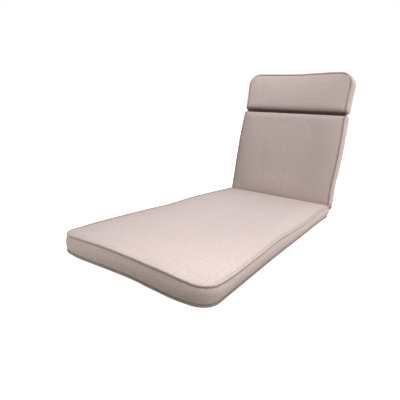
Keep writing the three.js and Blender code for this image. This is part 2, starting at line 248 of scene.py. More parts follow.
@dataclass(frozen=True)
class SeamLine:
    """A seam's points, with the directions out of the pad's side, along the seam and away."""

    points: Array
    out: Array
    along: Array
    away: Array
    place: Array

    def offset(self, out: Array | float, away: Array | float) -> Array:
        """The seam's points moved by amounts along the out and away directions."""
        outwards, aside = np.reshape(out, (-1, 1)), np.reshape(away, (-1, 1))
        return self.points + self.out * outwards + self.away * aside


@dataclass(frozen=True)
class Grid:
    """Places over the rectangle of a face, row by row, with the indices of the rim."""

    u: Array
    v: Array
    size: tuple[int, int]
    rim: Array


@dataclass(frozen=True)
class PadShape:
    """The form of one filled pad, in millimetres."""

    bulge: float
    start: PadEnd
    end: PadEnd
    left_sway: EdgeTable
    right_sway: EdgeTable
    low: float = -THICKNESS
    high: float = 0.0
    crown: float = 4.0
    puff: float = 3.0
    low_crown: float = 4.0
    low_puff: float = 3.0
    low_reach: float = CROWN_REACH
    start_sway: EdgeTable = LEVEL
    end_sway: EdgeTable = LEVEL
    foot_rise: EdgeTable = LEVEL
    left_rise: EdgeTable = LEVEL
    right_rise: EdgeTable = LEVEL
    is_folded: bool = False

    def grid(self, pitch: float, has_insets: bool) -> Grid:
        """Lays a grid over the rectangle between the pad's ends.

        Args:
            pitch: About how far its rows and columns stand apart.
            has_insets: Whether it is closer near the edges, as a face's mesh is.

        Returns:
            The grid.
        """
        plain = (0.0,)
        across = BOXED_INSETS if has_insets else plain
        ends = (self.start.insets(), self.end.insets()) if has_insets else (plain, plain)
        columns = even_stops(-HALF, HALF, (across, across), pitch)
        rows = even_stops(self.start.at, self.end.at, ends, pitch)
        u, v = (part.ravel() for part in np.meshgrid(columns, rows))
        return Grid(u, v, (len(rows), len(columns)), rim_order(len(rows), len(columns)))

    def rounded(self, u: Array, v: Array, side: Side) -> tuple[Array, Array, Array]:
        """Carries places of a rectangle to the outline with round corners.

        In the square of each corner, with a and b the shares of the way to its two sides, the place
        becomes a * sqrt(1 - b^2 / 2) and b * sqrt(1 - a^2 / 2), which lays the square on a quarter
        of a disc.

        Args:
            u: Places across.
            v: Places along, measured on the top face.
            side: The face whose ends and corners are taken.

        Returns:
            The places across and along, and the outward direction of places on the rim.
        """
        is_top = side is Side.TOP
        start_at = self.start.at if is_top else self.start.low_at
        end_at = self.end.at if is_top else self.end.low_at
        share = (v - self.start.at) / (self.end.at - self.start.at)
        along = start_at + share * (end_at - start_at)
        is_far = share > 0.5
        at = np.where(is_far, end_at, start_at)
        inward = np.where(is_far, -1.0, 1.0)
        radius = np.where(
            is_far,
            self.end.corner if is_top else self.end.low_corner,
            self.start.corner if is_top else self.start.low_corner,
        )
        a = np.clip((np.abs(u) - (HALF - radius)) / radius, 0.0, 1.0)
        b = np.clip(1.0 - inward * (along - at) / radius, 0.0, 1.0)
        disc_a = a * np.sqrt(1.0 - b * b / 2.0)
        disc_b = b * np.sqrt(1.0 - a * a / 2.0)
        across = np.abs(u) + radius * (disc_a - a)
        along = along + inward * radius * (b - disc_b)
        out = np.stack([np.sign(u) * disc_a, -inward * disc_b, np.zeros_like(a)], axis=-1)
        return np.sign(u) * across, along, out

    def fold_share(self, place: Array) -> Array:
        """Nearness to the fold in the side band under the right corner of the start.

        Args:
            place: Places across and along, one row each.

        Returns:
            1 at the corner, fading round it as a bell curve, or 0 everywhere without a fold.
        """
        if not self.is_folded:
            return np.zeros(len(place))
        corner = np.array([HALF, self.start.at])
        return np.exp(-((np.linalg.norm(place - corner, axis=1) / FOLD_REACH) ** 2))

    def roll_share(self, v: Array) -> Array:
        """How far a face has rolled towards a sewn web, as a quarter ellipse.

        Args:
            v: Places along.

        Returns:
            The share of the way that it has rolled, 1 on the web.
        """
        share = np.zeros_like(v)
        for end in (self.start, self.end):
            if end.is_sewn:
                t = 1.0 - np.clip((np.abs(v - end.at) - WEB_LENGTH) / end.roll, 0.0, 1.0)
                share += 1.0 - np.sqrt(1.0 - t * t)
        return share

    def roll_drop(self, u: Array, v: Array) -> Array:
        """How far a face has rolled towards the middle of the pad near a sewn channel."""
        held = WEB_SIDE_HOLD * fade_out(HALF - np.abs(u), WEB_SIDE_REACH)
        return self.roll_share(v) * ((self.high - self.low) / 2.0 - WEB_HALF) * (1.0 - held)

    def ripple(self, u: Array, v: Array) -> Array:
        """Height that the uneven edges add to the top face.

        Args:
            u: Places across.
            v: Places along.

        Returns:
            The heights, which fade out over the face.
        """
        return (
            self.foot_rise.read(u) * fade_out(v - self.start.at, RIPPLE_REACH)
            + self.right_rise.read(v) * fade_out(HALF - u, RIPPLE_REACH)
            + self.left_rise.read(v) * fade_out(HALF + u, RIPPLE_REACH)
        )

    def sway(self, u: Array, v: Array) -> tuple[Array, Array]:
        """Moves places in the plane of the face by the sways of the edges near them.

        Args:
            u: Places across.
            v: Places along.

        Returns:
            The moved places across and along.
        """
        side = np.where(u < 0.0, self.left_sway.read(v), self.right_sway.read(v)) * u / HALF
        start = self.start_sway.read(u) * fade_out(v - self.start.at, SWAY_REACH)
        end = self.end_sway.read(u) * fade_out(self.end.at - v, SWAY_REACH)
        return u + side, v - start + end

    def edge_share(self, u: Array, v: Array, reach: float, inset: float) -> Array:
        """Eases in from the two sides and from each end that isn't sewn.

        Args:
            u: Places across.
            v: Places along.
            reach: How far from an edge the rise is complete.
            inset: How far from an edge the rise begins.

        Returns:
            The product of the rises, each from 0 to 1.
        """
        share = ease_in(HALF - np.abs(u) - inset, reach)
        for end in (self.start, self.end):
            if not end.is_sewn:
                share = share * ease_in(np.abs(v - end.at) - inset, reach)
        return share

    def sewn_gap(self, v: Array) -> Array:
        """Distance to the nearest sewn channel.

        Args:
            v: Places along.

        Returns:
            The distances, or the width of the pad where it has no channel.
        """
        gap = np.full_like(v, WIDTH)
        for end in (self.start, self.end):
            if end.is_sewn:
                gap = np.minimum(gap, np.abs(v - end.at))
        return gap

    def seam_height(self, u: Array, v: Array, side: Side) -> Array:
        """Height of the surface that a face's seam lies in.

        Args:
            u: Places across.
            v: Places along.
            side: The face: the rippled top one, or the plain low one.

        Returns:
            The heights.
        """
        if side is Side.TOP:
            return self.high - self.roll_drop(u, v) + self.ripple(u, v)
        return self.low + self.roll_drop(u, v)

    def face(self, u: Array, v: Array, side: Side) -> Array:
        """The seam surface with its broad crown and its puffed edge added.

        Args:
            u: Places across.
            v: Places along.
            side: The face.

        Returns:
            Points of the face, one row each.
        """
        x, y = self.sway(u, v)
        is_top = side is Side.TOP
        crown = self.crown if is_top else self.low_crown
        puff = self.puff if is_top else self.low_puff
        reach = CROWN_REACH if is_top else self.low_reach
        rise = crown * self.edge_share(u, v, reach, 0.0)
        rise = rise + puff * self.edge_share(u, v, PUFF_REACH, TUCK)
        height = self.seam_height(u, v, side) + side.value * rise * (1.0 - self.roll_share(v))
        return np.stack([x, y, height], axis=-1)

    def seam(self, u: Array, v: Array, side: Side) -> SeamLine:
        """The seam round a face.

        Args:
            u: Places across, in order round the rectangle's rim, anticlockwise.
            v: Places along.
            side: The face that the seam bounds.

        Returns:
            The seam with its directions. Away is square to the seam and to the outward direction,
            and turns straight off the face near a sewn channel.
        """
        across, along, out = self.rounded(u, v, side)
        x, y = self.sway(across, along)
        points = np.stack([x, y, self.seam_height(across, along, side)], axis=-1)
        run = unit(np.roll(points, -1, axis=0) - np.roll(points, 1, axis=0))
        square = unit(np.cross(out, run))
        lean = smooth_step(self.sewn_gap(along), PIPING_END, PIPING_END + PIPING_TURN)[:, None]
        away = unit(square * lean + np.array([0.0, 0.0, 1.0]) * (1.0 - lean)) * side.value
        return SeamLine(points, unit(out), run, away, np.stack([across, along], axis=-1))


@dataclass(frozen=True)
class Placement:
    """Where a pad's own axes stand: their origin in millimetres and their turn about X."""

    origin: tuple[float, float, float]
    turn: float = 0.0

    def apply(self, points: Array) -> Array:
        """Turns points about X, moves them to the origin and changes them to metres.

        Args:
            points: Points in millimetres on the pad's own axes.

        Returns:
            The points in metres in the shared frame.
        """
        c, s = math.cos(self.turn), math.sin(self.turn)
        x, y, z = points[:, 0], points[:, 1], points[:, 2]
        turned = np.stack([x, c * y - s * z, s * y + c * z], axis=-1)
        return (turned + np.asarray(self.origin)) * METRES


def even_stops(
    low: float,
    high: float,
    insets: tuple[tuple[float, ...], tuple[float, ...]],
    pitch: float,
) -> Array:
    """Places from low to high, closer near the two ends.

    Args:
        low: The first place.
        high: The last place.
        insets: For each end, the distances of its own places from it, growing.
        pitch: About how long the even steps between them are.

    Returns:
        The places in order.
    """
    first = low + insets[0][-1]
    last = high - insets[1][-1]
    count = max(1, round((last - first) / pitch))
    near = low + np.asarray(insets[0][:-1])
    far = high - np.asarray(insets[1][:-1])[::-1]
    return np.concatenate([near, np.linspace(first, last, count + 1), far])


def rim_order(rows: int, columns: int) -> Array:
    """Indices of a grid's rim, anticlockwise from its first corner."""
    grid = np.arange(rows * columns).reshape(rows, columns)
    return np.concatenate([grid[0, :-1], grid[:-1, -1], grid[-1, :0:-1], grid[:0:-1, 0]])


def path_length(points: Array) -> Array:
    """Length along a path up to each of its points."""
    steps = np.linalg.norm(np.diff(points, axis=0), axis=1)
    return np.concatenate([[0.0], np.cumsum(steps)])


@dataclass
class Skin:
    """A closed surface: its points, its faces and a weave place for each corner of a face."""

    points: Array
    faces: list[list[int]]
    weave: Array

    def build(self, name: str) -> bpy.types.Object:
        """Makes the object, smooth shaded, with the weave map.

        Args:
            name: The name of the object and of its mesh.

        Returns:
            The object, linked to the scene.
        """
        mesh = bpy.data.meshes.new(name)
        mesh.from_pydata(self.points.tolist(), [], self.faces)
        layer = mesh.uv_layers.new(name=WEAVE_MAP)
        layer.data.foreach_set("uv", (self.weave * METRES).astype(np.float32).ravel())
        mesh.shade_smooth()
        piece = bpy.data.objects.new(name, mesh)
        bpy.context.scene.collection.objects.link(piece)
        return piece


def read_points(mesh: bpy.types.Mesh, field: str = "co") -> Array:
    """Reads a vector of each vertex of a mesh.

    Args:
        mesh: The mesh.
        field: The vertices' own name of the vector: co for the place, normal for the normal.

    Returns:
        The vectors, one row each.
    """
    flat = np.empty(len(mesh.vertices) * 3, np.float32)
    mesh.vertices.foreach_get(field, flat)
    return flat.reshape(-1, 3).astype(float)


def write_points(mesh: bpy.types.Mesh, points: Array) -> None:
    """Puts the vertices of a mesh at the given places."""
    mesh.vertices.foreach_set("co", points.astype(np.float32).ravel())
    mesh.update()


def write_attribute(mesh: bpy.types.Mesh, name: str, values: Array) -> None:
    """Stores one number for each vertex under a name."""
    layer = mesh.attributes.new(name, "FLOAT", "POINT")
    layer.data.foreach_set("value", values.astype(np.float32))


def take_attribute(mesh: bpy.types.Mesh, name: str) -> Array:
    """Reads a number for each vertex and removes the stored ones.

    Args:
        mesh: The mesh.
        name: The name that the numbers are stored under.

    Returns:
        The numbers, in the order of the vertices.
    """
    layer = mesh.attributes[name]
    values = np.empty(len(layer.data), np.float32)
    layer.data.foreach_get("value", values)
    mesh.attributes.remove(layer)
    return values.astype(float)


@dataclass(frozen=True)
class ClothFilling:
    """How the cloth of a pad is blown up by its filling.

    The cloth is held at its seams, pressed outwards by an even pressure with no gravity, and may be
    a little larger than its pattern so that it buckles into soft waves. How firmly it is held is
    rounded to a number of levels. No point moves by more than the most millimetres.
    """

    pressure: float = 2.5
    frames: int = 20
    quality: int = 6
    mass: float = 0.3
    stiffness: float = 25.0
    bending: float = 1.0
    most: float = 5.0
    soft_hold: float = 0.12
    hold_levels: int = 16
    least_move: float = 1e-6

    def blow_up(self, piece: bpy.types.Object, hold: Array, slack: float) -> None:
        """Runs the simulation on a piece and keeps its result, capped, in the mesh.

        Args:
            piece: The pad, in millimetres on its own axes.
            hold: How firmly each point stays in its place, from 0 to 1.
            slack: How much the cloth shrinks from its pattern; it grows where this is below 0.
        """
        scene = bpy.context.scene
        mesh = piece.data
        rest = read_points(mesh)
        write_points(mesh, rest * METRES)
        group = piece.vertex_groups.new(name="hold")
        steps = np.rint(np.maximum(hold, self.soft_hold) * self.hold_levels).astype(int)
        for step in np.unique(steps):
            group.add(np.flatnonzero(steps == step).tolist(), step / self.hold_levels, "REPLACE")
        cloth = piece.modifiers.new("filling", "CLOTH")
        settings = cloth.settings
        settings.vertex_group_mass = group.name
        settings.use_pressure = True
        settings.uniform_pressure_force = self.pressure
        settings.shrink_min = slack
        settings.quality = self.quality
        settings.mass = self.mass
        settings.tension_stiffness = self.stiffness
        settings.compression_stiffness = self.stiffness
        settings.bending_stiffness = self.bending
        settings.effector_weights.gravity = 0.0
        cloth.collision_settings.use_collision = False
        cloth.point_cache.frame_start = 1
        cloth.point_cache.frame_end = self.frames
        for step in range(1, self.frames + 1):
            scene.frame_set(step)
        graph = bpy.context.evaluated_depsgraph_get()
        blown = read_points(piece.evaluated_get(graph).data) / METRES
        piece.modifiers.remove(cloth)
        piece.vertex_groups.remove(group)
        scene.frame_set(1)
        move = blown - rest
        reach = np.maximum(np.linalg.norm(move, axis=1, keepdims=True), self.least_move)
        capped = move / reach * self.most * np.tanh(reach / self.most)
        write_points(mesh, rest + capped * (1.0 - hold)[:, None])
        middle, most = np.median(reach), reach.max()
        log.info("%s filled: median move %.1f mm, most %.1f mm", piece.name, middle, most)


@dataclass(frozen=True)
class Puckers:
    """Small gathers of the cloth where it is held by a seam or a sewn channel.

    Each kind begins at the start distance from the seam or channel. The reach is where it has faded
    out, and the turn is where the waves along the ends give way to those along the sides.
    """

    seam_height: float = 0.5
    seam_start: float = 4.0
    seam_reach: float = 26.0
    seam_lengths: tuple[float, ...] = (17.0, 26.0, 41.0)
    side_turn: tuple[float, float] = (HALF - 60.0, HALF - 20.0)
    channel_height: float = 1.1
    channel_start: float = 6.0
    channel_reach: float = 38.0
    channel_lengths: tuple[float, ...] = (23.0, 37.0, 61.0)
    wander_height: float = 1.5
    wander_start: float = 12.0
    wander_lengths: tuple[float, ...] = (90.0, 150.0, 230.0)

    def heights(self, u: Array, v: Array, seam_gap: Array, sewn_gap: Array, seed: int) -> Array:
        """How far each point is raised.

        Waves run along the sides and along the ends and blend at the corners. They fade with the
        distance to the seam. Slow waves in both directions wander over the whole face.

        Args:
            u: Places across.
            v: Places along.
            seam_gap: Distance to the nearest seam.
            sewn_gap: Distance to the nearest sewn channel.
            seed: Seed of the waves.

        Returns:
            Heights in millimetres.
        """
        side_wave = uneven_wave(v, self.seam_lengths, seed)
        end_wave = uneven_wave(u, self.seam_lengths, seed + 1)
        channel_wave = uneven_wave(u, self.channel_lengths, seed + 2)
        across_wave = uneven_wave(u, self.wander_lengths, seed + 3)
        along_wave = uneven_wave(v, self.wander_lengths, seed + 4)
        is_side = smooth_step(np.abs(u), *self.side_turn)
        near = fade_out(seam_gap, self.seam_reach) * ease_in(seam_gap, self.seam_start)
        gathers = near * (side_wave * is_side + end_wave * (1.0 - is_side))
        near = fade_out(sewn_gap, self.channel_reach) * ease_in(sewn_gap, self.channel_start)
        calm = ease_in(seam_gap, self.wander_start)
        return (
            self.seam_height * gathers
            + self.channel_height * channel_wave * near
            + self.wander_height * across_wave * along_wave * calm
        )


@dataclass(frozen=True)
class YarnPair:
    """The lighter and the darker yarn that a cloth is woven from, as linear colours."""

    light: Colour
    dark: Colour


class NodeGraph:
    """Adds nodes to a material and links them, so that a pattern reads as a sum.

    A mix node has sockets for numbers, vectors and colours. The ones named here are for colours.
    """

    MIX_SHARE, MIX_FIRST, MIX_SECOND = 0, 6, 7
    MIX_COLOUR = 2

    def __init__(self, material: bpy.types.Material) -> None:
        """Empties the material's tree and keeps it.

        Args:
            material: The material that the nodes are for.
        """
        material.use_nodes = True
        self.tree = material.node_tree
        self.tree.nodes.clear()

    def add(
        self, kind: str, inputs: dict[str | int, object] | None = None, **settings: object
    ) -> bpy.types.Node:
        """Adds a node.

        Args:
            kind: The node's type name.
            inputs: What each input gets: a socket is linked, and any other value is set.
            settings: Properties of the node itself.

        Returns:
            The node.
        """
        node = self.tree.nodes.new(kind)
        for name, value in settings.items():
            setattr(node, name, value)
        for name, value in (inputs or {}).items():
            if isinstance(value, Socket):
                self.tree.links.new(value, node.inputs[name])
            else:
                node.inputs[name].default_value = value
        return node

    def finish(self, look: dict[str | int, object]) -> None:
        """Adds the surface with its look and links it to the material's output."""
        surface = self.add("ShaderNodeBsdfPrincipled", look).outputs["BSDF"]
        self.add("ShaderNodeOutputMaterial", {"Surface": surface})

    def math(
        self, operation: str, first: object, second: object = 0.0, third: object = 0.0
    ) -> Socket:
        """Result of a mathematical operation on numbers or sockets."""
        inputs = {0: first, 1: second, 2: third}
        return self.add("ShaderNodeMath", inputs, operation=operation).outputs[0]

    def blend(self, share: object, first: object, second: object) -> Socket:
        """Mixes two colours by the share of the second one."""
        inputs = {self.MIX_SHARE: share, self.MIX_FIRST: first, self.MIX_SECOND: second}
        return self.add("ShaderNodeMix", inputs, data_type="RGBA").outputs[self.MIX_COLOUR]

    def between(self, share: Socket, first: Socket, second: Socket) -> Socket:
        """Number between two numbers: first + share * (second - first)."""
        return self.math("MULTIPLY_ADD", share, self.math("SUBTRACT", second, first), first)

    def noise(self, place: Socket, scale: float, detail: float) -> Socket:
        """Smooth noise of about 0 to 1 at a place."""
        node = self.add("ShaderNodeTexNoise", {"Vector": place, "Scale": scale, "Detail": detail})
        return node.outputs["Fac"]


@dataclass(frozen=True)
class WovenCloth:
    """A plain-woven cloth of heathered yarns, drawn on the weave map.

    Each thread has a tone of its own, which drifts along it, and threads of the two directions pass
    over each other in turn. Long slubs run both ways, and small flecks and a faint cloudiness lie
    over all. The pitch of the threads is in millimetres. The scales of slubs, drift and fibres are
    per thread, and those of clouds and flecks per metre. The relief is in metres.
    """

    name: str
    yarns: YarnPair
    pitch: float = 1.25
    turn: float = 0.0
    thread_contrast: float = 0.55
    own_tone: float = 0.5
    drift_tone: float = 1.1
    base_tone: float = -0.3
    drift_scale: float = 0.09
    thread_stride: float = 7.31
    gap_shade: float = 0.3
    rounding: float = 0.4
    slub_share: float = 0.16
    slub_scales: tuple[float, float] = (0.22, 0.008)
    cloud_share: float = 0.07
    cloud_scale: float = 14.0
    fleck_share: float = 0.55
    fleck_scale: float = 190.0
    fibre_scale: float = 5.0
    fibre_height: float = 0.35
    relief: float = 0.00012
    bump: float = 0.6
    roughness: float = 0.92
    specular: float = 0.25
    sheen: float = 0.12
    sheen_roughness: float = 0.5
    # Painted shade: how far the cloth is blended towards a dark brown where a vertex's stored
    # painted shade says so
    painted_shade: float = 0.8
    painted_shade_colour: Colour = (0.05, 0.035, 0.025)

    def material(self) -> bpy.types.Material:
        """Builds the material's nodes.

        Returns:
            The material.
        """
        material = bpy.data.materials.new(self.name)
        graph = NodeGraph(material)
        place = graph.add("ShaderNodeUVMap", uv_map=WEAVE_MAP).outputs["UV"]
        scale = (1.0 / (self.pitch * METRES),) * 3
        threads = graph.add(
            "ShaderNodeMapping",
            {"Vector": place, "Rotation": (0.0, 0.0, self.turn), "Scale": scale},
        ).outputs["Vector"]
        tone, height = self._threads(graph, threads)
        colour = graph.blend(tone, (*self.yarns.dark, 1.0), (*self.yarns.light, 1.0))
        shade = self._shade(graph, place, threads)
        scaled = graph.add("ShaderNodeVectorMath", {0: colour, 3: shade}, operation="SCALE")
        # Painted shade: the cloth is blended towards the dark brown by the painted shade stored for
        # each vertex
        depth = graph.add("ShaderNodeAttribute", attribute_name=PAINTED_SHADE).outputs["Fac"]
        depth = graph.math("MULTIPLY", depth, self.painted_shade)
        fibre = graph.noise(threads, self.fibre_scale, 2.0)
        relief = graph.math("MULTIPLY_ADD", fibre, self.fibre_height, height)
        bump = graph.add(
            "ShaderNodeBump", {"Height": relief, "Distance": self.relief, "Strength": self.bump}
        )
        graph.finish(
            {
                "Base Color": graph.blend(depth, scaled.outputs[0], (*self.painted_shade_colour, 1.0)),
                "Roughness": self.roughness,
                "Specular IOR Level": self.specular,
                "Sheen Weight": self.sheen,
                "Sheen Roughness": self.sheen_roughness,
                "Normal": bump.outputs["Normal"],
            },
        )
        return material

    def _threads(self, graph: NodeGraph, threads: Socket) -> tuple[Socket, Socket]:
        """The thread that lies on top at each place.

        A thread's number is the whole part of its place. Where the sum of the two numbers is odd,
        the lengthwise thread is on top. Its height is a cosine across it, lower towards its ends.

        Args:
            graph: The material's nodes.
            threads: The place, counted in threads both ways.

        Returns:
            The tone and the height of the thread.
        """
        parts = graph.add("ShaderNodeSeparateXYZ", {"Vector": threads})
        numbers = []
        waves = []
        tones = []
        directions = (("X", "Y", 0.5, 3.0), ("Y", "X", 71.5, 11.0))
        for axis, other, own_seed, drift_seed in directions:
            number = graph.math("FLOOR", parts.outputs[axis])
            across = graph.math("SUBTRACT", graph.math("FRACT", parts.outputs[axis]), 0.5)
            numbers.append(number)
            waves.append(graph.math("COSINE", graph.math("MULTIPLY", across, math.pi)))
            own = graph.add(
                "ShaderNodeTexWhiteNoise",
                {"W": graph.math("ADD", number, own_seed)},
                noise_dimensions="1D",
            ).outputs["Value"]
            drift_place = graph.add(
                "ShaderNodeCombineXYZ",
                {
                    "X": graph.math("MULTIPLY", number, self.thread_stride),
                    "Y": graph.math("MULTIPLY", parts.outputs[other], self.drift_scale),
                    "Z": drift_seed,
                },
            ).outputs["Vector"]
            drift = graph.noise(drift_place, 1.0, 1.0)
            level = graph.math("MULTIPLY_ADD", own, self.own_tone, self.base_tone)
            tones.append(graph.math("MULTIPLY_ADD", drift, self.drift_tone, level))
        is_over = graph.math("FLOORED_MODULO", graph.math("ADD", *numbers), 2.0)
        centred = graph.math("SUBTRACT", graph.between(is_over, tones[1], tones[0]), 0.5)
        spread = graph.math("MULTIPLY_ADD", centred, self.thread_contrast, 0.5)
        heights = []
        for wave, along in (waves, waves[::-1]):
            end_share = graph.math("MULTIPLY_ADD", along, self.rounding, 1.0 - self.rounding)
            heights.append(graph.math("MULTIPLY", wave, end_share))
        height = graph.between(is_over, heights[1], heights[0])
        # Painted shade in the gaps between the threads, where a thread dips
        dip = graph.math("MULTIPLY", graph.math("SUBTRACT", 1.0, height), self.gap_shade)
        return graph.math("SUBTRACT", spread, dip), height

    def _shade(self, graph: NodeGraph, place: Socket, threads: Socket) -> Socket:
        """Share of its colour that the cloth keeps: less in slubs, flecks and clouds.

        Args:
            graph: The material's nodes.
            place: The place in metres.
            threads: The place, counted in threads both ways.

        Returns:
            The share, about 1 on average.
        """
        half_slub = self.slub_share * 0.5
        shade = 1.0 + (self.slub_share + self.cloud_share + self.fleck_share) * 0.5
        for stretch, seed in ((self.slub_scales, 2.0), (self.slub_scales[::-1], 9.0)):
            slub_place = graph.add(
                "ShaderNodeMapping",
                {"Vector": threads, "Location": (seed, seed, 0.0), "Scale": (*stretch, 1.0)},
            ).outputs["Vector"]
            slub = graph.math("MULTIPLY", graph.noise(slub_place, 1.0, 2.0), half_slub)
            shade = graph.math("SUBTRACT", shade, slub)
        for scale, detail, share in (
            (self.cloud_scale, 3.0, self.cloud_share),
            (self.fleck_scale, 1.0, self.fleck_share),
        ):
            part = graph.math("MULTIPLY", graph.noise(place, scale, detail), share)
            shade = graph.math("SUBTRACT", shade, part)
        return shade


COVER_CLOTH = WovenCloth(
    name="cover_cloth_heather",
    yarns=YarnPair(light=(0.69, 0.577, 0.545), dark=(0.425, 0.348, 0.32)),
)
# The piping's yarns are a little darker than the cover's: painted shade on a sleeve of the same
# cloth.
PIPING_CLOTH = WovenCloth(
    name="piping_cloth_bias",
    yarns=YarnPair(light=(0.65, 0.543, 0.512), dark=(0.395, 0.322, 0.295)),
    turn=math.radians(45.0),
    slub_share=0.14,
)


@dataclass(frozen=True)
class ShadePainting:
    """Painted shade on a pad's cloth where it runs into a seam or a channel, from 0 to 1.

    The panels, the side band and its low half have a share of their own beside a seam. A face gets
    painted shade from the first to the second share of its roll into a channel. Under is the painted
    shade that a face gets below the roll.
    """

    panel: float = 0.6
    band: float = 0.6
    low: float = 0.6
    reach: float = 2.5
    roll: tuple[float, float] = (0.1, 0.8)
    under: float = 0.0
    under_reach: float = 48.0

    def depth(self, shape: PadShape, points: Array, on_face: Array, seam_gap: Array) -> Array:
        """How much painted shade each point gets: beside a seam, in a channel and under the roll.

        Args:
            shape: The form of the pad.
            points: The points, one row each.
            on_face: 1 on a face and 0 on the side band.
            seam_gap: Distance to the nearest seam.

        Returns:
            The painted shade, from 0 to 1.
        """
        is_low = points[:, 2] < (shape.low + shape.high) / 2.0
        band = np.where(is_low, self.low, self.band)
        darkest = band + on_face * (self.panel - band)
        # Painted shade beside a seam, in the roll into a channel and under the roll
        in_seam = darkest * (1.0 - smooth_step(seam_gap, 0.0, self.reach))
        in_channel = smooth_step(shape.roll_share(points[:, 1]), *self.roll)
        under = self.under * fade_out(shape.sewn_gap(points[:, 1]), self.under_reach)
        return np.clip(in_seam + in_channel + under, 0.0, 1.0)


def corner_weave(corners: list[tuple[Array, Array]], shape: tuple[int, int]) -> Array:
    """Weave places of a grid of quads.

    Args:
        corners: For each corner of a quad its two places, as arrays that spread to the shape.
        shape: How many quads the grid has each way.

    Returns:
        The places, one row each, quad after quad and corner after corner.
    """
    spread = np.array([[np.broadcast_to(part, shape) for part in corner] for corner in corners])
    return np.moveaxis(spread, (0, 1), (-2, -1)).reshape(-1, 2)


@dataclass
class PadCover:
    """One filled pad: a woven cover over its filling.

    A laid pad rests on its underside, which is held flat and has no puckers. A point is on that
    side where its panel is below low_panel.
    """

    name: str
    node: str
    shape: PadShape
    placement: Placement
    seed: int
    pitch: float = 10.0
    slack: float = -0.002
    fill: float = 0.9
    # Painted shade of the cloth at its seams and channel
    dark: ShadePainting = ShadePainting()
    band_pucker: float = 0.8
    is_laid: bool = False
    low_panel: float = -0.01

    def build(
        self, filling: ClothFilling, puckers: Puckers, cloth: bpy.types.Material
    ) -> bpy.types.Object:
        """Makes the pad: its skin, its filling, one subdivision, its puckers and its cloth.

        Args:
            puckers: The small gathers that are added last.
            cloth: The material of the cover.

        Returns:
            The finished piece in its place.
        """
        skin, hold, seam_gap, panel = self._skin()
        piece = skin.build(self.name)
        filling.blow_up(piece, hold, self.slack)
        write_attribute(piece.data, SEAM_GAP, seam_gap)
        write_attribute(piece.data, PANEL, panel)
        self._subdivide(piece)
        self._pucker(piece, puckers)
        write_points(piece.data, self.placement.apply(read_points(piece.data)))
        piece.data.materials.append(cloth)
        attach(piece, BODY)
        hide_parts(self.node)
        log.info("%s: %d faces", self.name, len(piece.data.polygons))
        return piece

    def _skin(self) -> tuple[Skin, Array, Array, Array]:
        """The closed surface of the pad.

        Two grids make the faces. Their rims are tucked in beside the piping, and between them rings
        run round the pad: down the tuck, over the side band, which bulges as a power of a sine, and
        up the other tuck.

        Returns:
            The skin, and for each point how firmly it is held, its distance to the nearest seam and
            its panel: 1 on the top face, 0 on the side band and -1 on the low face.
        """
        shape = self.shape
        grid = shape.grid(self.pitch, has_insets=True)
        rim = grid.rim
        seams = {side: shape.seam(grid.u[rim], grid.v[rim], side) for side in Side}
        share = np.clip(shape.sewn_gap(seams[Side.TOP].place[:, 1]) / PIPING_END, 0.0, 1.0)
        tuck = TUCK * (CHANNEL_TUCK + (1.0 - CHANNEL_TUCK) * share)
        floor = tuck * TUCK_FLOOR / TUCK
        faces = {}
        places = {}
        for side in Side:
            across, along, _ = shape.rounded(grid.u, grid.v, side)
            points = shape.face(across, along, side)
            points[rim] = seams[side].offset(-tuck, LIP * share)
            faces[side] = points
            places[side] = np.stack([across, along], axis=-1)
        top = seams[Side.TOP].offset(LIP * share, -tuck)
        low = seams[Side.LOW].offset(LIP * share, -tuck)
        tall = top[:, 2] - low[:, 2]
        fold = shape.fold_share(seams[Side.TOP].place)
        bulge = self._band_bulge(seams[Side.TOP], tall, share) * (1.0 + FOLD_GROWTH * fold)
        rings = [seams[Side.TOP].offset(-floor, -floor), top]
        for level in BAND_LEVELS:
            swell = bulge * np.sin(math.pi * level ** (1.0 - FOLD_LIFT * fold)) ** BULGE_POWER
            rings.append(top + (low - top) * level + seams[Side.TOP].out * swell[:, None])
        rings += [low, seams[Side.LOW].offset(-floor, -floor)]
        rim_gap = self._rim_gap(grid.u, grid.v)
        hold_face = np.maximum(
            fade_out(rim_gap, SEAM_HOLD_REACH),
            fade_out(shape.sewn_gap(grid.v), CHANNEL_HOLD_REACH),
        )
        hold_low = np.ones_like(hold_face) if self.is_laid else hold_face
        hold_band = np.maximum(np.array(BAND_HOLD)[:, None], 1.0 - share[None, :])
        nearest = [0.0, 0.0, *(min(level, 1.0 - level) for level in BAND_LEVELS), 0.0, 0.0]
        band_gap = np.array(nearest)[:, None] * tall[None, :]
        hold = np.concatenate([hold_face, hold_low, hold_band.ravel()])
        seam_gap = np.concatenate([rim_gap, rim_gap, band_gap.ravel()])
        panel = np.repeat([1.0, -1.0, 0.0], [len(rim_gap), len(rim_gap), band_gap.size])
        return self._stitch(faces, places, rings, grid), hold, seam_gap, panel

    def _rim_gap(self, u: Array, v: Array) -> Array:
        """Distance from places of the face's rectangle to the nearest boxed side.

        Args:
            u: Places across.
            v: Places along.

        Returns:
            The distances.
        """
        gap = HALF - np.abs(u)
        for end in (self.shape.start, self.shape.end):
            if not end.is_sewn:
                gap = np.minimum(gap, np.abs(v - end.at))
        return gap

    def _band_bulge(self, seam: SeamLine, height: Array, share: Array) -> Array:
        """How far the side band bulges: less round the corners, where it is thin and at a channel.

        Args:
            seam: The seam above the band.
            height: How tall the band is.
            share: How far each place is from a channel, as a share of where its piping ends.

        Returns:
            The bulge at each place of the seam.
        """
        shape = self.shape
        thin = np.sqrt(np.maximum(height, 0.0) / height.max()) * share
        cosine, sine = seam.out[:, 0], seam.out[:, 1]
        cornered = 1.0 - CORNER_BULGE_LOSS * (2.0 * sine * cosine) ** 2
        end_bulge = np.where(sine > 0.0, shape.end.bulge, shape.start.bulge)
        return (shape.bulge * cosine**2 + end_bulge * sine**2) * thin * cornered

